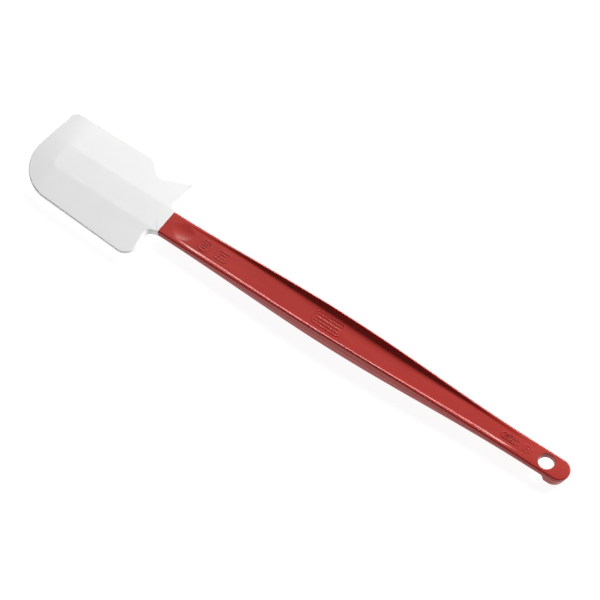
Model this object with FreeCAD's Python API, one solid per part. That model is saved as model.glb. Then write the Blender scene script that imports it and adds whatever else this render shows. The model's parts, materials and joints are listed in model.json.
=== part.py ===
"""High-heat scraper: a one-piece nylon handle whose tang is the core of a silicone blade.

Modelled along the handle's axis first: X from the blade's tip to the hanging end, Y across
the blade and Z through its thickness, with the axis at y = 0 and z = 0. Both pieces are then
moved together, so that the origin is under the middle of the box that holds the object.
"""
import os
import math

import FreeCAD, Part

# Overall
OVERALL_LENGTH = 419.0
BLADE_LENGTH = 107.0            # tip to the joint with the handle

# Handle, as it is seen from above
JOINT_HALF_WIDTH = 9.5
WIDEST_HALF_WIDTH = 11.0
WIDEST_FROM_JOINT = 120.0
TAIL_HALF_WIDTH = 7.65
TAIL_LENGTH = 34.0              # stretch of even width that ends in the round end

# Handle, as it is seen from the side
WEB_HALF_THICKNESS = 3.0
JOINT_HALF_THICKNESS = 3.1
BELLY_HALF_THICKNESS = 7.0
BELLY_FROM_JOINT = 155.0
TAIL_HALF_THICKNESS = 3.1
RIM_FADE_FROM_END = 26.0        # where the rims have run out, ahead of the hole
EDGE_RADIUS = 1.2

# Channels between the rims, one on each face
RIM_LAND = 1.5
CHANNEL_FILLET = 2.0
CHANNEL_FROM_JOINT = 2.5
CHANNEL_FROM_END = 28.0
CHANNEL_CORNER = 3.0

# Hanging hole and foot
HOLE_FROM_END = 16.5
HOLE_RADIUS = 5.3
FOOT_LENGTH = 13.6
FOOT_RAMP = 2.8
FOOT_DROP = 5.2                 # below the tail's underside
END_LEAN = math.radians(12.6)   # the round end leans in towards the foot's underside
FOOT_CLEAR_TOP = 6.6            # radius kept clear round the hole, at the tail's underside
FOOT_CLEAR_BOTTOM = 7.2

# Thumb dimple and raised marks on the upper web
DIMPLE_FROM_JOINT = 14.5
DIMPLE_HALF_LENGTH = 6.8
DIMPLE_DEPTH = 0.9
MARK_HEIGHT = 0.3
MARK_LINE = 0.7
RING_FROM_JOINT = 32.0
RING_RADIUS = 4.5
PANEL_FROM_JOINT = 130.4
PANEL_LENGTH = 23.0
PANEL_WIDTH = 10.0
PANEL_CORNER = 1.5
CAPSULE_FROM_END = 42.8
CAPSULE_LENGTH = 13.4
CAPSULE_WIDTH = 4.4

# Tang inside the blade
TANG_END_GAP = 24.0             # from the blade's tip
TANG_HALF_WIDTH = 7.5
TANG_HALF_THICKNESS = 1.5
WINDOW_COUNT = 3
WINDOW_LENGTH = 14.0
WINDOW_WIDTH = 7.0
WINDOW_PITCH = 22.0
WINDOW_FROM_JOINT = 22.0        # joint to the middle of the first window

# Blade outline
EDGE_PLUS_Y = 34.3              # straight edge, parallel to the handle
EDGE_MINUS_Y = 35.4             # tapered edge, measured at the shoulder
EDGE_TAPER = math.radians(3.0)
TIP_AT_AXIS = 0.0
TIP_SLANT = math.radians(6.4)
TIP_SHARP_CORNER = 5.5
TIP_ROUND_CORNER = 30.0
SHOULDER_FROM_JOINT = 4.0
SHOULDER_CORNER = 8.5
NECK_FROM_JOINT = 6.5
NECK_FILLET = 5.8
HORN_FROM_JOINT = 2.7
HORN_REACH = 34.6
HORN_SLOPE = 0.49
HORN_TIP_RADIUS = 0.9
HORN_ROOT_FILLET = 1.5
NOTCH_START_FROM_JOINT = 36.8
NOTCH_SLOPE = 0.87
NOTCH_CORNER = 1.6
NOTCH_FILLET = 6.0

# Blade thickness
BLADE_EDGE_HALF_THICKNESS = 1.1
SPINE_FROM_TIP = 17.0

CLEAR = 5.0                     # how far a cutting shape runs past what it cuts
SNUG = 0.01                     # how far a full round stays short of its half width
TOUCH = 1e-3                    # distance under which two places count as the same
JOINT_X = BLADE_LENGTH
END_X = OVERALL_LENGTH
HOLE_X = END_X - HOLE_FROM_END
FOOT_BOTTOM = TAIL_HALF_THICKNESS + FOOT_DROP


def point(x, y, z=0.0):
    return FreeCAD.Vector(x, y, z)


def line(start, end):
    return Part.LineSegment(start, end).toShape()


def ease(start, end):
    """Curve that leaves one point and meets the other level with the X axis."""
    third = (end.x - start.x) / 3.0
    curve = Part.BezierCurve()
    along = FreeCAD.Vector(third, 0, 0)
    curve.setPoles([start, start + along, end - along, end])
    return curve.toShape()


def face(edges):
    return Part.Face(Part.Wire(Part.__sortEdges__(edges)))


def slab(plan, low, high):
    """Solid of a face that lies in XY, from one height to the other."""
    base = plan.copy()
    base.translate(point(0, 0, low - base.BoundBox.ZMin))
    return base.extrude(point(0, 0, high - low))


def rounded_outline(corners):
    """Closed outline in XY from (x, y, radius) corners, each rounded by its own arc."""
    edges = []
    starts = []
    ends = []
    count = len(corners)
    for index, (x, y, radius) in enumerate(corners):
        corner = point(x, y)
        before = point(*corners[index - 1][:2]) - corner
        after = point(*corners[(index + 1) % count][:2]) - corner
        before.normalize()
        after.normalize()
        if radius <= 0:
            starts.append(corner)
            ends.append(corner)
            continue
        half = before.getAngle(after) / 2.0
        reach = radius / math.tan(half)
        start = corner + before * reach
        end = corner + after * reach
        inward = before + after
        inward.normalize()
        middle = corner + inward * (radius / math.sin(half) - radius)
        edges.append(Part.Arc(start, middle, end).toShape())
        starts.append(start)
        ends.append(end)
    for index in range(count):
        start = ends[index]
        end = starts[(index + 1) % count]
        if start.distanceToPoint(end) > TOUCH / 1000:
            edges.append(line(start, end))
    return face(edges)


def box_outline(middle_x, length, width, corner):
    """Rectangle in XY about a point on the axis, with one radius on its four corners."""
    x = length / 2.0
    y = width / 2.0
    signs = [(-1, -1), (1, -1), (1, 1), (-1, 1)]
    return rounded_outline([(middle_x + i * x, j * y, corner) for i, j in signs])


def handle_plan(inset, start_x, end_x):
    """Outline of the handle from above between two places, pulled in on both sides by inset."""
    joint = JOINT_HALF_WIDTH - inset
    widest = WIDEST_HALF_WIDTH - inset
    tail = TAIL_HALF_WIDTH - inset
    widest_x = JOINT_X + WIDEST_FROM_JOINT
    tail_x = END_X - TAIL_LENGTH
    edges = []
    for side in (-1, 1):
        edges.append(ease(point(JOINT_X, side * joint), point(widest_x, side * widest)))
        edges.append(ease(point(widest_x, side * widest), point(tail_x, side * tail)))
        edges.append(line(point(tail_x, side * tail), point(END_X, side * tail)))
    edges.append(line(point(JOINT_X, -joint), point(JOINT_X, joint)))
    edges.append(line(point(END_X, -tail), point(END_X, tail)))
    reach = 2 * (WIDEST_HALF_WIDTH + CLEAR)
    frame = box_outline((start_x + end_x) / 2, end_x - start_x, reach, 0)
    return face(edges).common(frame).Faces[0]


def round_end(low, high):
    """Tail between two heights: level sides, and a round end that leans in on the way down."""
    lean = math.tan(END_LEAN)
    back = (TAIL_HALF_THICKNESS - EDGE_RADIUS - low) * lean
    middle_x = END_X - TAIL_HALF_WIDTH - back
    start_x = END_X - TAIL_LENGTH + CLEAR - back
    near, far = [point(start_x, side * TAIL_HALF_WIDTH, low) for side in (-1, 1)]
    near_turn, far_turn = [point(middle_x, side * TAIL_HALF_WIDTH, low) for side in (-1, 1)]
    nose = point(middle_x + TAIL_HALF_WIDTH, 0, low)
    plan = face([
        line(near, near_turn),
        Part.Arc(near_turn, nose, far_turn).toShape(),
        line(far_turn, far),
        line(far, near),
    ])
    return plan.extrude(point((high - low) * lean, 0, high - low))


def handle_side():
    """Outline of the handle from the side, in XZ, with the foot under its round end."""
    belly_x = JOINT_X + BELLY_FROM_JOINT
    fade_x = END_X - RIM_FADE_FROM_END
    foot_x = END_X - FOOT_LENGTH
    far_x = END_X + CLEAR
    joint = JOINT_HALF_THICKNESS
    belly = BELLY_HALF_THICKNESS
    tail = TAIL_HALF_THICKNESS
    edges = []
    for side in (-1, 1):
        edges.append(ease(point(JOINT_X, 0, side * joint), point(belly_x, 0, side * belly)))
        edges.append(ease(point(belly_x, 0, side * belly), point(fade_x, 0, side * tail)))
    ramp_x = foot_x - FOOT_RAMP
    edges.append(line(point(JOINT_X, 0, -joint), point(JOINT_X, 0, joint)))
    edges.append(line(point(fade_x, 0, tail), point(far_x, 0, tail)))
    edges.append(line(point(far_x, 0, tail), point(far_x, 0, -FOOT_BOTTOM)))
    edges.append(line(point(far_x, 0, -FOOT_BOTTOM), point(foot_x, 0, -FOOT_BOTTOM)))
    edges.append(line(point(foot_x, 0, -FOOT_BOTTOM), point(ramp_x, 0, -tail)))
    edges.append(line(point(ramp_x, 0, -tail), point(fade_x, 0, -tail)))
    return face(edges)


def channel(side):
    """Cutter for the channel in one face: flat floor, with a fillet up to each rim."""
    plan = handle_plan(RIM_LAND, JOINT_X + CHANNEL_FROM_JOINT, END_X - CHANNEL_FROM_END)
    cutter = slab(plan, WEB_HALF_THICKNESS, BELLY_HALF_THICKNESS + CLEAR)
    corners = []
    for edge in cutter.Edges:
        box = edge.BoundBox
        if box.ZLength > CLEAR and box.XLength < TOUCH and box.YLength < TOUCH:
            corners.append(edge)
    cutter = cutter.makeFillet(CHANNEL_CORNER, corners)
    floor_edges = [edge for edge in cutter.Edges if edge.BoundBox.ZMax < WEB_HALF_THICKNESS + TOUCH]
    cutter = cutter.makeFillet(CHANNEL_FILLET, floor_edges)
    if side < 0:
        cutter = cutter.mirror(point(0, 0, 0), point(0, 0, 1))
    return cutter


def grip():
    """The handle outside the blade, with its outer edges rounded, its channels and its hole."""
    height = FOOT_BOTTOM + CLEAR
    plan = handle_plan(0, JOINT_X, HOLE_X)
    upright = slab(plan, -height, height).fuse(round_end(-height, height)).removeSplitter()
    reach = WIDEST_HALF_WIDTH + CLEAR
    side = handle_side()
    side.translate(point(0, -reach, 0))
    body = upright.common(side.extrude(point(0, 2 * reach, 0)))
    rims = []
    for edge in body.Edges:
        box = edge.BoundBox
        level = box.ZMin > 0 or box.ZMax < -TAIL_HALF_THICKNESS + TOUCH
        at_joint = box.XMax < JOINT_X + TOUCH
        across = box.YLength > TAIL_HALF_WIDTH and box.XLength < TOUCH
        if level and not at_joint and not across:
            rims.append(edge)
    body = body.makeFillet(EDGE_RADIUS, rims)
    for side in (1, -1):
        body = body.cut(channel(side))
    hole = Part.makeCylinder(HOLE_RADIUS, 2 * height, point(HOLE_X, 0, -height))
    clearing = Part.makeCone(FOOT_CLEAR_BOTTOM, FOOT_CLEAR_TOP, FOOT_DROP, point(HOLE_X, 0, -FOOT_BOTTOM))
    return body.cut(hole).cut(clearing)


def dimple():
    """Ball that cuts the shallow thumb dimple ahead of the blade."""
    radius = (DIMPLE_HALF_LENGTH ** 2 + DIMPLE_DEPTH ** 2) / (2.0 * DIMPLE_DEPTH)
    height = WEB_HALF_THICKNESS - DIMPLE_DEPTH + radius
    return Part.makeSphere(radius, point(JOINT_X + DIMPLE_FROM_JOINT, 0, height))


def raised_band(outer, inner):
    """A low band between two outlines, standing on the upper web and let into it."""
    sunk = WEB_HALF_THICKNESS / 2.0
    top = WEB_HALF_THICKNESS + MARK_HEIGHT
    return slab(outer, sunk, top).cut(slab(inner, sunk, top))


def marks():
    """Plain mould marks: a ring, a framed blank panel and a capsule."""
    ring_x = JOINT_X + RING_FROM_JOINT
    panel_x = JOINT_X + PANEL_FROM_JOINT
    capsule_x = END_X - CAPSULE_FROM_END
    thin = 2 * MARK_LINE
    round_outer = 2 * RING_RADIUS
    round_corner = RING_RADIUS - SNUG
    capsule_corner = CAPSULE_WIDTH / 2.0 - SNUG
    shapes = [
        (ring_x, round_outer, round_outer, round_corner),
        (panel_x, PANEL_LENGTH, PANEL_WIDTH, PANEL_CORNER),
        (capsule_x, CAPSULE_LENGTH, CAPSULE_WIDTH, capsule_corner),
    ]
    bands = []
    for middle, length, width, corner in shapes:
        outer = box_outline(middle, length, width, corner)
        inner = box_outline(middle, length - thin, width - thin, corner - MARK_LINE)
        bands.append(raised_band(outer, inner))
    return bands


def tang(start_x):
    """Flat core of the blade, with a round end and windows that lock the silicone on."""
    tip_x = TANG_END_GAP
    tip_round = TANG_HALF_WIDTH - SNUG
    plan = rounded_outline([
        (tip_x, -TANG_HALF_WIDTH, tip_round),
        (start_x, -TANG_HALF_WIDTH, 0),
        (start_x, TANG_HALF_WIDTH, 0),
        (tip_x, TANG_HALF_WIDTH, tip_round),
    ])
    core = slab(plan, -TANG_HALF_THICKNESS, TANG_HALF_THICKNESS)
    for index in range(WINDOW_COUNT):
        middle = JOINT_X - WINDOW_FROM_JOINT - index * WINDOW_PITCH
        outline = box_outline(middle, WINDOW_LENGTH, WINDOW_WIDTH, WINDOW_WIDTH / 2.0 - SNUG)
        core = core.cut(slab(outline, -CLEAR, CLEAR))
    return core


def blade_outline():
    """Outline of the blade from above, corner by corner from the tip's sharp side."""
    taper = math.tan(EDGE_TAPER)
    slant = math.tan(TIP_SLANT)
    shoulder_x = JOINT_X - SHOULDER_FROM_JOINT
    horn_x = JOINT_X - HORN_FROM_JOINT
    neck_x = JOINT_X - NECK_FROM_JOINT
    notch_x = JOINT_X - NOTCH_START_FROM_JOINT
    # where the notch's straight flank meets the line of the horn's edge
    rise = EDGE_PLUS_Y - HORN_REACH + NOTCH_SLOPE * notch_x + HORN_SLOPE * horn_x
    run = rise / (NOTCH_SLOPE + HORN_SLOPE)
    notch_y = EDGE_PLUS_Y - NOTCH_SLOPE * (run - notch_x)
    # where the tapered edge meets the slanted tip
    tip_x = (TIP_AT_AXIS - slant * (EDGE_MINUS_Y - taper * shoulder_x)) / (1 + slant * taper)
    tip_y = -EDGE_MINUS_Y + taper * (shoulder_x - tip_x)
    return rounded_outline([
        (TIP_AT_AXIS + slant * EDGE_PLUS_Y, EDGE_PLUS_Y, TIP_SHARP_CORNER),
        (notch_x, EDGE_PLUS_Y, NOTCH_CORNER),
        (run, notch_y, NOTCH_FILLET),
        (horn_x, HORN_REACH, HORN_TIP_RADIUS),
        (horn_x, JOINT_HALF_WIDTH, HORN_ROOT_FILLET),
        (JOINT_X, JOINT_HALF_WIDTH, 0),
        (JOINT_X, -JOINT_HALF_WIDTH, 0),
        (neck_x, -JOINT_HALF_WIDTH, NECK_FILLET),
        (shoulder_x, -EDGE_MINUS_Y, SHOULDER_CORNER),
        (tip_x, tip_y, TIP_ROUND_CORNER),
    ])


def blade_section():
    """Cross-section of the blade in YZ: a level spine that slopes to two thin edges."""
    thin = BLADE_EDGE_HALF_THICKNESS
    thick = JOINT_HALF_THICKNESS
    low_y = -EDGE_MINUS_Y
    high_y = HORN_REACH
    spine = JOINT_HALF_WIDTH
    upper = [(low_y, thin), (-spine, thick), (spine, thick), (high_y, thin)]
    ring = upper + [(y, -z) for y, z in reversed(upper)]
    points = [point(-CLEAR, y, z) for y, z in ring]
    return face([line(points[i - 1], points[i]) for i in range(len(points))])


def blade_profile():
    """Side view of the blade in XZ: thin at the tip, then the level spine."""
    thin = BLADE_EDGE_HALF_THICKNESS
    thick = JOINT_HALF_THICKNESS
    upper = [(0.0, thin), (SPINE_FROM_TIP, thick), (JOINT_X, thick)]
    ring = upper + [(x, -z) for x, z in reversed(upper)]
    reach = EDGE_MINUS_Y + CLEAR
    points = [point(x, -reach, z) for x, z in ring]
    profile = face([line(points[i - 1], points[i]) for i in range(len(points))])
    return profile.extrude(point(0, 2 * reach, 0))


def make_handle():
    body = grip()
    body = body.cut(dimple())
    return body.multiFuse([tang(JOINT_X + CLEAR)] + marks()).removeSplitter()


def make_blade():
    body = slab(blade_outline(), -JOINT_HALF_THICKNESS, JOINT_HALF_THICKNESS)
    section = blade_section().extrude(point(BLADE_LENGTH + 2 * CLEAR, 0, 0))
    body = body.common(section).common(blade_profile())
    return body.cut(tang(JOINT_X))


pieces = {"handle": make_handle(), "blade": make_blade()}

# The origin is the middle of the box's underside.
whole = Part.makeCompound(list(pieces.values())).optimalBoundingBox(False, False)
shift = point(-(whole.XMin + whole.XMax) / 2, -(whole.YMin + whole.YMax) / 2, -whole.ZMin)

os.makedirs("parts", exist_ok=True)
for name, shape in pieces.items():
    solid = shape.Solids[0]
    solid.translate(shift)
    solid.exportStep("parts/" + name + ".step")
    box = solid.BoundBox
    print(name, "solids", len(shape.Solids), "valid", solid.isValid(), "volume", round(solid.Volume, 1),
          "box", [round(v, 2) for v in (box.XMin, box.YMin, box.ZMin, box.XMax, box.YMax, box.ZMax)])
print("axis moved by", [round(v, 3) for v in shift])
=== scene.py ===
"""Looks of a bowl scraper: a red nylon handle and a white silicone blade moulded over its tang.

The shapes are worked out in millimetres about the handle's own axis: X from the blade's tip to the
hanging end, Y across the blade, Z through its thickness. The CAD model says where that axis lies.
"""
import json
import math

import bmesh
import bpy
import numpy as np
from mathutils import Matrix, Vector


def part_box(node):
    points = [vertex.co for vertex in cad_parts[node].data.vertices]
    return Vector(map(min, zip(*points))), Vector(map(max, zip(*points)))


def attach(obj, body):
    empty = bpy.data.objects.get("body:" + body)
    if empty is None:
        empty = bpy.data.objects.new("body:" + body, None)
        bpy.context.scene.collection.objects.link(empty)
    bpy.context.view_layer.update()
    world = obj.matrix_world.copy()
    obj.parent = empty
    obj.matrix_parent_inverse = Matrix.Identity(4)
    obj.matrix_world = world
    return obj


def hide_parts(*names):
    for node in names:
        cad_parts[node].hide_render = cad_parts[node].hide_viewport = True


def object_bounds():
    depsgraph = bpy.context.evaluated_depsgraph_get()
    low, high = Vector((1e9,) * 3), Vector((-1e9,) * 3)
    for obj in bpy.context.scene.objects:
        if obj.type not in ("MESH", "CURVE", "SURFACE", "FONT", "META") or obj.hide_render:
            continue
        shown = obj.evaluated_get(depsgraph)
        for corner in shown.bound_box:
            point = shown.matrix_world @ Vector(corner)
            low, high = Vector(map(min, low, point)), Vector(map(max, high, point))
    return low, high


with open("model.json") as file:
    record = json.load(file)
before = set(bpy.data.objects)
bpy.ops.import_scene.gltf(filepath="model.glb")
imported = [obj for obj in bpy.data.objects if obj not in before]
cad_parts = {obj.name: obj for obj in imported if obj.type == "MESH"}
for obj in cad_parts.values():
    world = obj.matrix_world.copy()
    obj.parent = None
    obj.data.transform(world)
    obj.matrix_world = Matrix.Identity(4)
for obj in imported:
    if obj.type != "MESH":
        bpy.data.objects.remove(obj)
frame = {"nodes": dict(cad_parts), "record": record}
cad_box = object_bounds()

MM = 0.001

# Places read from the CAD model, in millimetres
blade_low, blade_high = [np.array(corner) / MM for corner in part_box("blade")]
whole_low, whole_high = [np.array(corner) / MM for corner in cad_box]
mounts = {mount["name"]: mount for mount in frame["record"]["mounts"]}
hole_place = np.array(mounts["hanging_hole"]["pos_m"]) / MM
AXIS_Y = hole_place[1]
AXIS_Z = (blade_low[2] + blade_high[2]) / 2
TIP_X = whole_low[0]
LENGTH = whole_high[0] - whole_low[0]
JOINT = blade_high[0] - TIP_X
HOLE_X = hole_place[0] - TIP_X
HOLE_RADIUS = mounts["hanging_hole"]["dims"]["r_mm"]
FOOT_BOTTOM = AXIS_Z - whole_low[2]
NECK_HALF = (blade_high[2] - blade_low[2]) / 2

# Handle, in millimetres
JOINT_HALF_WIDTH = 9.5
WIDEST_HALF_WIDTH = 11.0
WIDEST_X = JOINT + 120.0
TAIL_HALF_WIDTH = 7.65
TAIL_X = LENGTH - 34.0
BELLY_HALF = whole_high[2] - AXIS_Z
BELLY_X = JOINT + 155.0
TAIL_HALF = 3.1
RIMS_END_X = LENGTH - 26.0
WEB_HALF = 3.0
RIM_LAND = 1.5
RIM_CREASE = 0.7
CHANNEL_FILLET = 2.0
WALL_LEAN = math.radians(80)      # how steep the channel's walls stand
CHANNEL_FADE_IN = 30.0
CHANNEL_END_X = LENGTH - 26.0
CHANNEL_FADE_OUT = 22.0
DIMPLE_X = JOINT + 13.5
DIMPLE_DEPTH = 0.55
DIMPLE_REACH_TO_BLADE = 6.4
DIMPLE_REACH_TO_TAIL = 8.6
DIMPLE_HALF_WIDTH = 6.0
EDGE_RADIUS = 1.2
HOLE_EDGE = 0.35
BORE_STEPS = 64
JOINT_EDGE = 0.3
PARTING_RIDGE = 0.06
DRAFT = math.tan(math.radians(1.2))
FOOT_X = LENGTH - 13.6
FOOT_RAMP = 2.8
FOOT_CLEAR_TOP = 6.6
FOOT_CLEAR_BOTTOM = 7.2
END_LEAN = math.tan(math.radians(12.6))
END_LEAN_EASE = 4.0               # over this length behind the hole, the lean comes in

# Tang inside the blade, in millimetres
TANG_START = 24.0
TANG_WIDTH = 15.0
TANG_CORNER = 7.4
TANG_HALF = 1.5
TANG_INTO_HANDLE = 0.2

# Blade, in millimetres
EDGE_HALF = 1.1
EDGE_PLUS_Y = 34.296
EDGE_MINUS_Y = 35.4
EDGE_TAPER = math.tan(math.radians(3.0))
TIP_SLANT = math.tan(math.radians(6.4))
TIP_AT_AXIS = 0.0
SPINE_START = 17.0
SPINE_ROUNDING = 7.0
SPINE_STEP = 1.5
BLADE_STEP = 0.7                  # between points of the outline
BLADE_RIDGE = 0.035
JOINT_ROUNDING = 0.3
SHOULDER_X = JOINT - 4.0
HORN_X = JOINT - 2.7
HORN_Y = 34.58
HORN_SLOPE = 0.49
NOTCH_X = JOINT - 36.8
NOTCH_SLOPE = 0.87
NECK_X = JOINT - 6.5

# Meshes
WELD = 0.0002                     # millimetres
SHARP_ANGLE = math.radians(50)

# View
VIEW_AZIMUTH = 35.6
VIEW_ELEVATION = 61.6
VIEW_DISTANCE = 1.292             # metres
VIEW_AIM = [211.9, 4.74, 0.0]


# ---------------------------------------------------------------- surfaces

def place(points):
    """Points in millimetres about the handle's axis, as metres in the CAD model's frame."""
    return (np.asarray(points, float) + [TIP_X, AXIS_Y, AXIS_Z]) * MM


def ease(value, start, end):
    """Rises from 0 at start to 1 at end as 3u^2 - 2u^3, level at both."""
    part = np.clip((value - start) / (end - start), 0.0, 1.0)
    return part * part * (3.0 - 2.0 * part)


def soft_min(first, second, width):
    """The smaller of two heights, with the crease between them rounded over a height of width."""
    share = np.clip(0.5 + 0.5 * (second - first) / width, 0.0, 1.0)
    return second + (first - second) * share - width * share * (1.0 - share)


def grid_faces(rows, columns, start):
    """Quads of a grid whose points are numbered row by row from start."""
    row, column = np.meshgrid(np.arange(rows - 1), np.arange(columns - 1), indexing="ij")
    corner = start + row * columns + column
    quads = np.stack([corner, corner + 1, corner + columns + 1, corner + columns], axis=-1)
    return quads.reshape(-1, 4)


def make_piece(name, grids):
    """One closed mesh from grids of points (rows, columns, 3), welded where their borders meet."""
    points = []
    faces = []
    count = 0
    for grid in grids:
        rows, columns = grid.shape[:2]
        points.append(grid.reshape(-1, 3))
        faces.append(grid_faces(rows, columns, count))
        count += rows * columns
    mesh = bpy.data.meshes.new(name)
    mesh.from_pydata(place(np.concatenate(points)).tolist(), [], np.concatenate(faces).tolist())
    work = bmesh.new()
    work.from_mesh(mesh)
    bmesh.ops.remove_doubles(work, verts=work.verts, dist=WELD * MM)
    bmesh.ops.dissolve_degenerate(work, dist=1e-8, edges=work.edges)
    bmesh.ops.recalc_face_normals(work, faces=work.faces)
    work.to_mesh(mesh)
    work.free()
    mesh.polygons.foreach_set("use_smooth", np.ones(len(mesh.polygons), bool))
    mesh.set_sharp_from_angle(angle=SHARP_ANGLE)
    piece = bpy.data.objects.new(name, mesh)
    bpy.context.scene.collection.objects.link(piece)
    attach(piece, "root")
    return piece


# ---------------------------------------------------------------- handle

def half_width(x):
    """Half the handle's width from above: eased out to the widest place and in to the tail."""
    out = JOINT_HALF_WIDTH + (WIDEST_HALF_WIDTH - JOINT_HALF_WIDTH) * ease(x, JOINT, WIDEST_X)
    return out + (TAIL_HALF_WIDTH - WIDEST_HALF_WIDTH) * ease(x, WIDEST_X, TAIL_X)


def rim_height(x):
    """Height of the rims above the middle plane: eased up to the belly and down to the tail."""
    up = NECK_HALF + (BELLY_HALF - NECK_HALF) * ease(x, JOINT, BELLY_X)
    return up + (TAIL_HALF - BELLY_HALF) * ease(x, BELLY_X, RIMS_END_X)


def dimple(x, y):
    """Depth of the thumb dimple: an oval bowl, steeper on the blade's side."""
    along = (x - DIMPLE_X) / np.where(x < DIMPLE_X, DIMPLE_REACH_TO_BLADE, DIMPLE_REACH_TO_TAIL)
    across = y / DIMPLE_HALF_WIDTH
    return DIMPLE_DEPTH * np.clip(1.0 - along ** 2 - across ** 2, 0.0, None) ** 1.15


def channel_start(x):
    """How far from the axis the channel's level floor ends and its fillet begins."""
    return half_width(x) - RIM_LAND - CHANNEL_FILLET - 0.15


def face_height(x, y, upper):
    """Height of one face above the middle plane: the lower of the rim's top and a channel with a
    level floor, a round fillet and a steep wall, and a dimple on the upper face."""
    rim = rim_height(x)
    fade_out = ease(x, CHANNEL_END_X - CHANNEL_FADE_OUT, CHANNEL_END_X)
    fade = ease(x, JOINT, JOINT + CHANNEL_FADE_IN) * (1.0 - fade_out)
    floor = rim - (rim - WEB_HALF) * fade
    out = np.clip(np.abs(y) - channel_start(x), 0.0, None)
    bend = CHANNEL_FILLET * math.sin(WALL_LEAN)
    rise = CHANNEL_FILLET - np.sqrt(CHANNEL_FILLET ** 2 - np.minimum(out, bend) ** 2)
    rise += np.clip(out - bend, 0.0, None) * math.tan(WALL_LEAN)
    height = soft_min(rim, floor + rise, RIM_CREASE * fade + 1e-3)
    return height - dimple(x, y) if upper else height


def foot_depth(x, y):
    """How far the foot drops below the tail's underside: down its front ramp, and down the
    steep wall that keeps it clear of the hole."""
    from_hole = np.hypot(x - HOLE_X, y)
    ramp = ease(x, FOOT_X - FOOT_RAMP - 0.3, FOOT_X + 0.3)
    wall = ease(from_hole, FOOT_CLEAR_TOP - 0.1, FOOT_CLEAR_BOTTOM + 0.2)
    return (FOOT_BOTTOM - TAIL_HALF) * np.minimum(ramp, wall)


def handle_columns():
    """Where each cross-strip of the handle starts and ends, from the joint to the round end.

    Returns outer points on the outline, its outward normals and inner points. The inner points
    lie on the axis, except beside the hole, where they follow the hole's circle.
    """
    hole = HOLE_RADIUS + HOLE_EDGE
    near_joint = JOINT + JOINT_EDGE * (1.0 - np.cos(np.linspace(0, math.pi / 2, 6)))
    body = np.linspace(JOINT + JOINT_EDGE, HOLE_X - hole, 290)[1:-1]
    around = HOLE_X - hole * np.cos(np.linspace(0, math.pi, BORE_STEPS + 1))
    centre = LENGTH - TAIL_HALF_WIDTH
    gap = np.linspace(HOLE_X + hole, centre, 14)[1:-1]
    x = np.concatenate([near_joint, body, around, gap])
    inner_y = np.sqrt(np.clip(hole ** 2 - (x - HOLE_X) ** 2, 0.0, None))
    slope = np.gradient(half_width(x), x)
    length = np.hypot(slope, 1.0)
    outer = np.stack([x, half_width(x)], axis=-1)
    normal = np.stack([-slope / length, 1.0 / length], axis=-1)
    inner = np.stack([x, inner_y], axis=-1)
    turn = np.linspace(0, math.pi / 2, 33)
    end_normal = np.stack([np.sin(turn), np.cos(turn)], axis=-1)
    end_outer = np.array([centre, 0.0]) + TAIL_HALF_WIDTH * end_normal
    reach = (TAIL_HALF_WIDTH - EDGE_RADIUS) * turn / (math.pi / 2)
    end_inner = np.stack([centre + reach, np.zeros_like(turn)], axis=-1)
    return (np.concatenate([outer, end_outer]), np.concatenate([normal, end_normal]),
            np.concatenate([inner, end_inner]))


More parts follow.
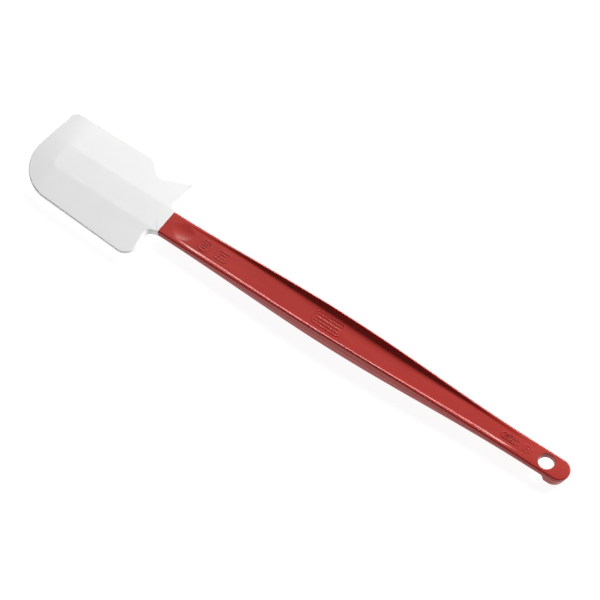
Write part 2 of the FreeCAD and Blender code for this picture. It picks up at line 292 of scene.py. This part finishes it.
def handle_half(side):
    """Half of the handle's skin, on one side of its axis, as a grid of columns and rows.

    Each column runs from the inner point over the upper face, round the upper edge, down the
    drafted side wall, round the lower edge and back over the lower face to the inner point.
    """
    outer, normal, inner = handle_columns()
    x = outer[:, 0]
    # the small rounding where the handle meets the blade
    from_joint = np.clip(JOINT_EDGE - (inner[:, 0] - JOINT), 0.0, JOINT_EDGE)
    shrink = JOINT_EDGE - np.sqrt(JOINT_EDGE ** 2 - from_joint ** 2)
    crest = outer - EDGE_RADIUS * normal
    width = half_width(inner[:, 0])
    flat = channel_start(inner[:, 0]) / (width - EDGE_RADIUS)
    bend = CHANNEL_FILLET * math.sin(WALL_LEAN) / (width - EDGE_RADIUS)
    floor_steps = np.linspace(0, 1, 17)[:-1]
    bend_steps = np.sin(np.linspace(0, WALL_LEAN, 12)) / math.sin(WALL_LEAN)
    land_steps = np.linspace(0, 1, 9)[1:]
    even = np.linspace(0, 1, len(floor_steps) + len(bend_steps) + len(land_steps))
    shaped = np.concatenate([
        flat[:, None] * floor_steps,
        flat[:, None] + bend[:, None] * bend_steps,
        (flat + bend)[:, None] + (1.0 - flat - bend)[:, None] * land_steps,
    ], axis=1)
    plain = ease(inner[:, 0], HOLE_X - 14.0, HOLE_X - 8.0)[:, None]
    share = shaped * (1.0 - plain) + even * plain
    across = inner[:, None, :] + (crest - inner)[:, None, :] * share[:, :, None]
    low = -foot_depth(across[..., 0], across[..., 1])
    upper_face = face_height(across[..., 0], across[..., 1] * side, True)
    lower_face = face_height(across[..., 0], across[..., 1] * side, False)
    top = np.dstack([across, upper_face - shrink[:, None]])
    bottom = np.dstack([across, low + shrink[:, None] - lower_face])
    crest_top = top[:, -1, 2]
    crest_low = bottom[:, -1, 2]
    turn = np.linspace(0, math.pi / 2, 9)[1:]
    edge_out = EDGE_RADIUS * np.sin(turn)
    edge_down = EDGE_RADIUS * (1.0 - np.cos(turn))

    def strip(out, height):
        """A run of points a distance out from the crest line, at given heights."""
        plan = crest[:, None, :] + normal[:, None, :] * (out - shrink[:, None])[:, :, None]
        return np.dstack([plan, height])

    lean = DRAFT * np.maximum(crest_top, -crest_low)[:, None]
    upper = strip(edge_out - lean * edge_out / EDGE_RADIUS, crest_top[:, None] - edge_down)
    lower = strip(edge_out - lean * edge_out / EDGE_RADIUS, crest_low[:, None] + edge_down)[:, ::-1]
    levels = np.array([0.66, 0.33, 0.05, 0.0, -0.05, -0.33, -0.66])
    ridge = np.where(levels == 0.0, PARTING_RIDGE, 0.0)
    above = levels * (crest_top[:, None] - EDGE_RADIUS)
    below = -levels * (crest_low[:, None] + EDGE_RADIUS)
    height = np.where(levels > 0, above, below)
    wall = strip(EDGE_RADIUS + ridge - lean * np.abs(levels), height)
    grid = np.concatenate([top, upper, wall, lower, bottom[:, ::-1]], axis=1)
    # the round end leans in on the way down; the lean comes in gradually behind the hole
    past_hole = grid[..., 0] - HOLE_X - HOLE_RADIUS - 2 * HOLE_EDGE
    behind = np.clip(past_hole / END_LEAN_EASE, 0.0, 1.0)
    grid[..., 0] -= behind * (TAIL_HALF - EDGE_RADIUS - grid[..., 2]) * END_LEAN
    grid[..., 1] *= side
    return grid


def handle_bore():
    """Wall of the hanging hole: rounded in from the upper face, straight, and out at the lower face."""
    around = np.linspace(0, 2 * math.pi, 2 * BORE_STEPS + 1)
    turn = np.linspace(0, math.pi / 2, 6)
    out = np.concatenate([1.0 - np.sin(turn), [0.0, 0.0], (1.0 - np.sin(turn))[::-1]])
    radius = HOLE_RADIUS + HOLE_EDGE * out
    direction = np.stack([-np.cos(around), np.sin(around)], axis=-1)
    plan = np.array([HOLE_X, 0.0]) + direction[:, None, :] * radius[None, :, None]
    rim = np.array([HOLE_X, 0.0]) + direction * (HOLE_RADIUS + HOLE_EDGE)
    top = face_height(rim[:, 0], rim[:, 1], True)
    low = -face_height(rim[:, 0], rim[:, 1], False) - foot_depth(rim[:, 0], rim[:, 1])
    down = HOLE_EDGE * (1.0 - np.cos(turn))
    straight = top[:, None] + (low - top)[:, None] * np.array([0.33, 0.66])
    height = np.concatenate([top[:, None] - down, straight, (low[:, None] + down)[:, ::-1]], axis=1)
    return np.dstack([plan, height])


def handle_cap(halves):
    """Flat end of the handle at the joint: the first column of each half, drawn in to the middle."""
    caps = []
    for grid in halves:
        ring = grid[0]
        middle = np.array([JOINT, 0.0, 0.0])
        steps = np.linspace(0, 1, 4)[:, None, None]
        caps.append(ring[None] + (middle - ring)[None] * steps)
    return caps


def make_handle():
    halves = [handle_half(1), handle_half(-1)]
    return make_piece("handle_body", halves + [handle_bore()] + handle_cap(halves))


# ---------------------------------------------------------------- marks on the handle

def loop_path(length, width, corner):
    """Closed path round a rectangle with round corners, evenly stepped, with its outward normals."""
    half = np.array([length / 2 - corner, width / 2 - corner])
    turn = np.linspace(0, math.pi / 2, 13)
    points = []
    normals = []
    for quarter, sign in enumerate([(1, 1), (-1, 1), (-1, -1), (1, -1)]):
        angle = turn + quarter * math.pi / 2
        ray = np.stack([np.cos(angle), np.sin(angle)], axis=-1)
        points.append(half * sign + corner * ray)
        normals.append(ray)
    points = np.concatenate(points)
    normals = np.concatenate(normals)
    return np.vstack([points, points[:1]]), np.vstack([normals, normals[:1]])


MARK_HEIGHT = 0.26
MARK_SUNK = 0.25


def band(middle, length, width, corner, line):
    """A raised band: a low rounded profile carried round a closed path on the upper web."""
    path, normals = loop_path(length - line, width - line, corner - line / 2)
    half = line / 2
    soft = 0.3 * half
    turn = np.linspace(0, math.pi / 2, 5)
    out = np.concatenate([[half * 1.12], half - soft + soft * np.cos(turn)])
    up = np.concatenate([[-MARK_SUNK], MARK_HEIGHT - soft + soft * np.sin(turn)])
    out = np.concatenate([out, -out[::-1], out[:1]])
    up = np.concatenate([up, up[::-1], up[:1]])
    plan = np.array(middle) + path[:, None, :] + normals[:, None, :] * out[None, :, None]
    height = WEB_HALF + np.broadcast_to(up, plan.shape[:2])
    return np.dstack([plan, height])


def bar(middle, length, width):
    """A raised bar with round ends: rings of a closed path, drawn in over the top to its middle line."""
    corner = min(length, width) / 2
    path, normals = loop_path(length, width, corner)
    turn = np.linspace(0, math.pi / 2, 5)
    soft = 0.4 * corner
    inward = np.concatenate([[0.0], soft * (1.0 - np.cos(turn)), [corner]])
    up = np.concatenate([[-MARK_SUNK], MARK_HEIGHT - soft + soft * np.sin(turn), [MARK_HEIGHT]])
    plan = np.array(middle) + path[:, None, :] - normals[:, None, :] * inward[None, :, None]
    top = np.dstack([plan, WEB_HALF + np.broadcast_to(up, plan.shape[:2])])
    floor = np.stack([top[:, -1] * [1, 1, 0], top[:, 0] * [1, 1, 0]], axis=1)
    floor[..., 2] = WEB_HALF - MARK_SUNK
    return [top, floor]


def make_marks():
    """Plain mould marks with no lettering: a ring, a panel, a capsule and two small frames, with bars."""
    grids = []
    ring_x = JOINT + 32.0
    grids.append(band((ring_x, 0.0), 9.0, 9.0, 4.5, 0.65))
    grids += bar((ring_x, 0.0), 4.4, 0.8)
    grids += bar((ring_x, 1.6), 3.0, 0.7)
    grids += bar((ring_x, -1.6), 3.0, 0.7)
    stamp_x = JOINT + 46.0
    grids.append(band((stamp_x, 0.0), 9.6, 7.0, 1.6, 0.6))
    grids += bar((stamp_x, 1.1), 6.2, 0.6)
    grids += bar((stamp_x, -1.1), 6.2, 0.6)
    panel_x = JOINT + 130.4
    grids.append(band((panel_x, 0.0), 23.0, 10.0, 3.2, 0.7))
    grids += bar((panel_x, 2.4), 18.5, 0.7)
    grids += bar((panel_x, 0.0), 18.5, 1.6)
    grids += bar((panel_x, -2.4), 18.5, 0.7)
    capsule_x = LENGTH - 42.8
    grids.append(band((capsule_x, 0.0), 13.4, 4.4, 2.2, 0.55))
    grids += bar((capsule_x, 0.75), 9.0, 0.5)
    grids += bar((capsule_x, -0.75), 9.0, 0.5)
    grids.append(band((LENGTH - 30.6, 0.0), 5.6, 4.6, 1.2, 0.5))
    grids += bar((LENGTH - 30.6, 0.0), 3.0, 0.6)
    return make_piece("handle_marks", grids)


# ---------------------------------------------------------------- tang

def make_tang():
    """The handle's flat core inside the blade: a slab with a round end, as a grid of rings."""
    length = JOINT - TANG_START + TANG_INTO_HANDLE
    path = loop_path(length, TANG_WIDTH, TANG_CORNER)[0] + [TANG_START + length / 2, 0.0]
    middle_x = np.clip(path[:, 0], TANG_START + TANG_CORNER, JOINT - TANG_CORNER)
    middle = np.stack([middle_x, np.zeros(len(path))], axis=-1)
    share = np.array([1.0, 0.5, 0.0, 0.0, 0.5, 1.0])
    height = TANG_HALF * np.array([1.0, 1.0, 1.0, -1.0, -1.0, -1.0])
    plan = path[:, None, :] + (middle - path)[:, None, :] * share[None, :, None]
    return make_piece("tang_core", [np.dstack([plan, np.broadcast_to(height, plan.shape[:2])])])


# ---------------------------------------------------------------- blade

def blade_corners():
    """Corners of the blade's outline with their radii, from the tip's sharp side round by the horn."""
    far_y = EDGE_PLUS_Y - HORN_Y + NOTCH_SLOPE * NOTCH_X + HORN_SLOPE * HORN_X
    run = far_y / (NOTCH_SLOPE + HORN_SLOPE)
    tip = TIP_AT_AXIS - TIP_SLANT * (EDGE_MINUS_Y - EDGE_TAPER * SHOULDER_X)
    tip /= 1 + TIP_SLANT * EDGE_TAPER
    return [
        (TIP_AT_AXIS + TIP_SLANT * EDGE_PLUS_Y, EDGE_PLUS_Y, 5.5),
        (NOTCH_X, EDGE_PLUS_Y, 1.8),
        (run, EDGE_PLUS_Y - NOTCH_SLOPE * (run - NOTCH_X), 6.0),
        (HORN_X, HORN_Y, 0.9),
        (HORN_X, JOINT_HALF_WIDTH, 1.5),
        (JOINT, JOINT_HALF_WIDTH, 0.35),
        (JOINT, -JOINT_HALF_WIDTH, 0.35),
        (NECK_X, -JOINT_HALF_WIDTH, 5.8),
        (SHOULDER_X, -EDGE_MINUS_Y, 8.5),
        (tip, -EDGE_MINUS_Y + EDGE_TAPER * (SHOULDER_X - tip), 30.0),
    ]


def rounded_path(corners, step):
    """Closed path through corners with round arcs, points about a step apart, and outward normals."""
    count = len(corners)
    arcs = []
    for index, (x, y, radius) in enumerate(corners):
        corner = np.array([x, y])
        before = np.array(corners[index - 1][:2]) - corner
        after = np.array(corners[(index + 1) % count][:2]) - corner
        before /= np.linalg.norm(before)
        after /= np.linalg.norm(after)
        half = math.acos(np.clip(before @ after, -1, 1)) / 2
        inward = (before + after) / np.linalg.norm(before + after)
        centre = corner + inward * radius / math.sin(half)
        start = corner + before * radius / math.tan(half) - centre
        end = corner + after * radius / math.tan(half) - centre
        sweep = math.atan2(start[0] * end[1] - start[1] * end[0], start @ end)
        turn = np.linspace(0, sweep, max(5, int(abs(sweep) * radius / step) + 1))[:, None]
        across = np.array([-start[1], start[0]])
        arcs.append(centre + start * np.cos(turn) + across * np.sin(turn))
    path = []
    for index, arc in enumerate(arcs):
        path.append(arc)
        gap = arcs[(index + 1) % count][0] - arc[-1]
        steps = int(np.linalg.norm(gap) / step)
        if steps > 1:
            path.append(arc[-1] + gap * (np.arange(1, steps) / steps)[:, None])
    path = np.concatenate(path)
    ahead = np.roll(path, -1, axis=0) - path
    behind = path - np.roll(path, 1, axis=0)
    ahead /= np.linalg.norm(ahead, axis=1, keepdims=True)
    behind /= np.linalg.norm(behind, axis=1, keepdims=True)
    along = ahead + behind
    along /= np.linalg.norm(along, axis=1, keepdims=True)
    normal = np.stack([-along[:, 1], along[:, 0]], axis=-1)
    return np.vstack([path, path[:1]]), np.vstack([normal, normal[:1]])


def blade_height(x, y):
    """Half the blade's thickness: a level spine that falls in straight slopes to the thin edges.

    The fall is the slope times the distance from the spine's outline, whose end is rounded.
    """
    side_slope = (NECK_HALF - EDGE_HALF) / (34.8 - JOINT_HALF_WIDTH)
    tip_slope = (NECK_HALF - EDGE_HALF) / SPINE_START
    out_side = np.abs(y) - JOINT_HALF_WIDTH
    out_tip = (SPINE_START - x) * tip_slope / side_slope
    across = np.clip(out_side + SPINE_ROUNDING, 0.0, None)
    along = np.clip(out_tip + SPINE_ROUNDING, 0.0, None)
    inside = (out_side + SPINE_ROUNDING < 0) | (out_tip + SPINE_ROUNDING < 0)
    distance = np.where(inside, np.maximum(out_side, out_tip), np.hypot(across, along) - SPINE_ROUNDING)
    height = soft_min(np.full_like(x, NECK_HALF), NECK_HALF - side_slope * distance, 0.1)
    return np.clip(height, EDGE_HALF, None)


def make_blade():
    """The blade's skin: strips that run from a line on the axis out over the upper face to the
    outline, round the edge, and back over the lower face."""
    path, normal = rounded_path(blade_corners(), BLADE_STEP)
    # the line's places only move forward, then only back, so that no two strips cross
    ahead = np.clip(path[:, 0], 6.0, JOINT)
    farthest = int(np.argmax(ahead))
    ahead[:farthest] = np.maximum.accumulate(ahead[:farthest])
    ahead[farthest:] = np.minimum.accumulate(ahead[farthest:])
    places = 12.0 + (ahead - 6.0) * (JOINT - 20.0) / (JOINT - 6.0)
    # both sides use the same evenly spaced points of the line, so that they meet without a gap
    places = places[0] + np.round((places - places[0]) / SPINE_STEP) * SPINE_STEP
    spine = np.stack([places, np.zeros(len(path))], axis=-1)
    thick = blade_height(path[:, 0], path[:, 1])
    in_neck = path[:, 0] > JOINT - 6.9
    near_joint = ease(JOINT_HALF_WIDTH + 4.0 - np.abs(path[:, 1]), 0.0, 4.0) * in_neck
    fullness = 0.45 + 0.4 * ease(path[:, 0], JOINT - 13.0, JOINT - 7.0)
    radius = fullness * thick * (1.0 - near_joint) + JOINT_ROUNDING * near_joint
    crest = path - normal * radius[:, None]
    share = np.linspace(0, 1, 56)
    plan = spine[:, None, :] + (crest - spine)[:, None, :] * share[None, :, None]
    top = np.dstack([plan, blade_height(plan[..., 0], plan[..., 1])])
    turn = np.linspace(0, math.pi / 2, 7)[1:]
    out = radius[:, None] * np.sin(turn)
    down = radius[:, None] * (1.0 - np.cos(turn))
    edge_plan = crest[:, None, :] + normal[:, None, :] * out[:, :, None]
    edge = np.dstack([edge_plan, top[:, -1:, 2] - down])
    level = edge[:, -1:, 2] * np.array([0.5, 0.08, 0.0])
    # the wall stands back from the outline by the ridge's height, and the ridge reaches it
    back = BLADE_RIDGE * np.array([-1.0, -1.0, 0.0]) * (1.0 - near_joint)[:, None]
    wall = np.dstack([path[:, None, :] + normal[:, None, :] * back[:, :, None], level])
    upper = np.concatenate([top, edge, wall], axis=1)
    lower = upper[:, -2::-1] * [1.0, 1.0, -1.0]
    return make_piece("blade_skin", [np.concatenate([upper, lower], axis=1)])


# ---------------------------------------------------------------- materials

class Value:
    """A socket that takes part in sums: each operator adds one Math node."""

    def __init__(self, shade, socket):
        self.shade = shade
        self.socket = socket

    def math(self, operation, first, second):
        return self.shade.node("ShaderNodeMath", {"operation": operation}, first, second)

    def __add__(self, other):
        return self.math("ADD", self, other)

    __radd__ = __add__

    def __mul__(self, other):
        return self.math("MULTIPLY", self, other)

    __rmul__ = __mul__


class Shade:
    """One material's node tree, with one method that adds any node."""

    def __init__(self, name):
        self.material = bpy.data.materials.new(name)
        self.material.use_nodes = True
        self.tree = self.material.node_tree
        self.surface = self.tree.nodes["Principled BSDF"]

    def node(self, kind, settings=None, *values, output=0, **named):
        """Adds a node of a kind, applies its settings, fills its sockets and returns one output."""
        made = self.tree.nodes.new(kind)
        for key, setting in (settings or {}).items():
            setattr(made, key, setting)
        for index, value in enumerate(values):
            self.fill(made.inputs[index], value)
        for key, value in named.items():
            self.fill(made.inputs[key.replace("_", " ")], value)
        return Value(self, made.outputs[output])

    def fill(self, socket, value):
        if isinstance(value, Value):
            self.tree.links.new(value.socket, socket)
        else:
            socket.default_value = value

    def mix(self, share, first, second):
        """Colour that goes from first to second as share goes from 0 to 1."""
        made = self.tree.nodes.new("ShaderNodeMix")
        made.data_type = "RGBA"
        self.fill(made.inputs[0], share)
        self.fill(made.inputs[6], first)
        self.fill(made.inputs[7], second)
        return Value(self, made.outputs[2])

    def place(self, scale=(1.0, 1.0, 1.0)):
        """Object coordinates, stretched."""
        raw = self.node("ShaderNodeTexCoord", None, output=3)
        return self.node("ShaderNodeMapping", None, raw, Scale=scale)

    def noise(self, place, scale, detail=3.0, roughness=0.5):
        sockets = {"Vector": place, "Scale": scale, "Detail": detail, "Roughness": roughness}
        return self.node("ShaderNodeTexNoise", None, **sockets)

    def ramp(self, value, low, high):
        """Rises from 0 to 1 as value goes from low to high."""
        smooth = {"interpolation_type": "SMOOTHSTEP"}
        return self.node("ShaderNodeMapRange", smooth, value, low, high, 0.0, 1.0)

    def bump(self, height, strength, distance, normal=None):
        named = {"Normal": normal} if normal is not None else {}
        return self.node("ShaderNodeBump", None, Height=height, Strength=strength, Distance=distance, **named)

    def finish(self, **sockets):
        for key, value in sockets.items():
            self.fill(self.surface.inputs[key.replace("_", " ")], value)
        return self.material


def red_nylon():
    """Glass-filled nylon: deep red with faint flow streaks and fibre mottle, satin, lightly scuffed."""
    shade = Shade("red_nylon")
    flow = shade.noise(shade.place((18.0, 120.0, 120.0)), 1.0, 4.0)
    mottle = shade.noise(shade.place(), 900.0, 3.0, 0.6)
    grain = shade.noise(shade.place(), 2600.0, 2.0, 0.6)
    cloud = shade.noise(shade.place(), 45.0, 3.0)
    colour = shade.mix(shade.ramp(flow, 0.35, 0.7), (0.385, 0.028, 0.022, 1), (0.42, 0.034, 0.026, 1))
    colour = shade.mix(shade.ramp(mottle, 0.55, 0.8) * 0.3, colour, (0.47, 0.050, 0.040, 1))
    rough = 0.235 + 0.06 * cloud + 0.04 * mottle
    wave = shade.bump(cloud, 0.05, 0.0004)
    fine = shade.bump(grain, 0.07, 0.00003, wave)
    return shade.finish(Base_Color=colour, Roughness=rough, Normal=fine, IOR=1.53, Specular_IOR_Level=0.14)


def white_silicone():
    """Silicone rubber: warm white, soft sheen, faint clouding and a fine moulded grain."""
    shade = Shade("white_silicone")
    cloud = shade.noise(shade.place(), 38.0, 3.0)
    grain = shade.noise(shade.place(), 1800.0, 2.0, 0.6)
    speck = shade.noise(shade.place(), 700.0, 1.0)
    colour = shade.mix(shade.ramp(cloud, 0.3, 0.7), (0.83, 0.83, 0.825, 1), (0.855, 0.855, 0.85, 1))
    colour = shade.mix(shade.ramp(speck, 0.72, 0.82) * 0.15, colour, (0.74, 0.73, 0.70, 1))
    rough = 0.42 + 0.08 * cloud + 0.05 * grain
    wave = shade.bump(cloud, 0.12, 0.0004)
    fine = shade.bump(grain, 0.10, 0.00004, wave)
    return shade.finish(Base_Color=colour, Roughness=rough, Normal=fine, IOR=1.41, Specular_IOR_Level=0.04)


def pale_floor():
    """A light table: a pale matt sheet that glows from below, so shadows on it stay faint."""
    shade = Shade("pale_floor")
    soft = shade.noise(shade.place(), 6.0, 2.0)
    colour = shade.mix(soft, (0.15, 0.15, 0.15, 1), (0.17, 0.17, 0.17, 1))
    return shade.finish(Base_Color=colour, Roughness=0.9, Emission_Color=(1, 1, 1, 1), Emission_Strength=0.92)


# ---------------------------------------------------------------- stage

def make_floor():
    """A large level sheet under the object."""
    low = cad_box[0][2]
    reach = 3.0
    steps = np.linspace(-reach, reach, 9)
    x, y = np.meshgrid(steps, steps, indexing="ij")
    points = np.stack([x, y, np.full_like(x, low)], axis=-1).reshape(-1, 3)
    mesh = bpy.data.meshes.new("floor")
    mesh.from_pydata(points.tolist(), [], grid_faces(9, 9, 0)[:, ::-1].tolist())
    floor = bpy.data.objects.new("floor", mesh)
    bpy.context.scene.collection.objects.link(floor)
    mesh.materials.append(pale_floor())


def view_axes(azimuth, elevation):
    """Unit vectors to the right, up and back of a camera that looks from an azimuth and elevation."""
    a, e = math.radians(azimuth), math.radians(elevation)
    back = Vector((math.sin(a) * math.cos(e), -math.cos(a) * math.cos(e), math.sin(e)))
    right = Vector((math.cos(a), math.sin(a), 0.0))
    return right, back.cross(right), back


def make_camera():
    """A long lens, above the blade's near edge."""
    right, up, back = view_axes(VIEW_AZIMUTH, VIEW_ELEVATION)
    aim = Vector(place(VIEW_AIM))
    data = bpy.data.cameras.new("camera")
    data.lens = 120.0
    data.sensor_width = 36.0
    data.clip_end = 20.0
    camera = bpy.data.objects.new("camera", data)
    turn = Matrix((right, up, back)).transposed().to_4x4()
    camera.matrix_world = Matrix.Translation(aim + back * VIEW_DISTANCE) @ turn
    bpy.context.scene.collection.objects.link(camera)
    bpy.context.scene.camera = camera


def soft_box(name, toward, distance, size, power, shades=True):
    """A flat lamp at a distance from the object, facing it. One that doesn't shade is only mirrored."""
    data = bpy.data.lights.new(name, "AREA")
    data.shape = "RECTANGLE"
    data.size, data.size_y = size
    data.energy = power
    lamp = bpy.data.objects.new(name, data)
    direction = Vector(toward).normalized()
    lamp.location = direction * distance
    lamp.rotation_euler = direction.to_track_quat("Z", "Y").to_euler()
    lamp.visible_diffuse = shades
    bpy.context.scene.collection.objects.link(lamp)


def make_lights():
    """A soft lamp from behind, a card that only the glossy rims mirror, and a dim even surround."""
    soft_box("key", (0.32, 0.66, 0.62), 1.6, (0.75, 0.75), 36.0)
    soft_box("card", (-0.28, 0.80, 0.50), 1.3, (1.3, 0.5), 80.0, shades=False)
    world = bpy.data.worlds.new("studio")
    world.use_nodes = True
    world.node_tree.nodes["Background"].inputs[0].default_value = (1, 1, 1, 1)
    world.node_tree.nodes["Background"].inputs[1].default_value = 0.18
    bpy.context.scene.world = world
    bpy.context.scene.view_settings.view_transform = "Standard"


make_camera()
make_lights()
make_floor()

nylon = red_nylon()
silicone = white_silicone()
handle = make_handle()
marks = make_marks()
tang = make_tang()
for piece in (handle, marks, tang):
    piece.data.materials.append(nylon)
blade = make_blade()
blade.data.materials.append(silicone)
for node, material in (("handle", nylon), ("blade", silicone)):
    frame["nodes"][node].data.materials.clear()
    frame["nodes"][node].data.materials.append(material)
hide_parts("handle")
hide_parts("blade")
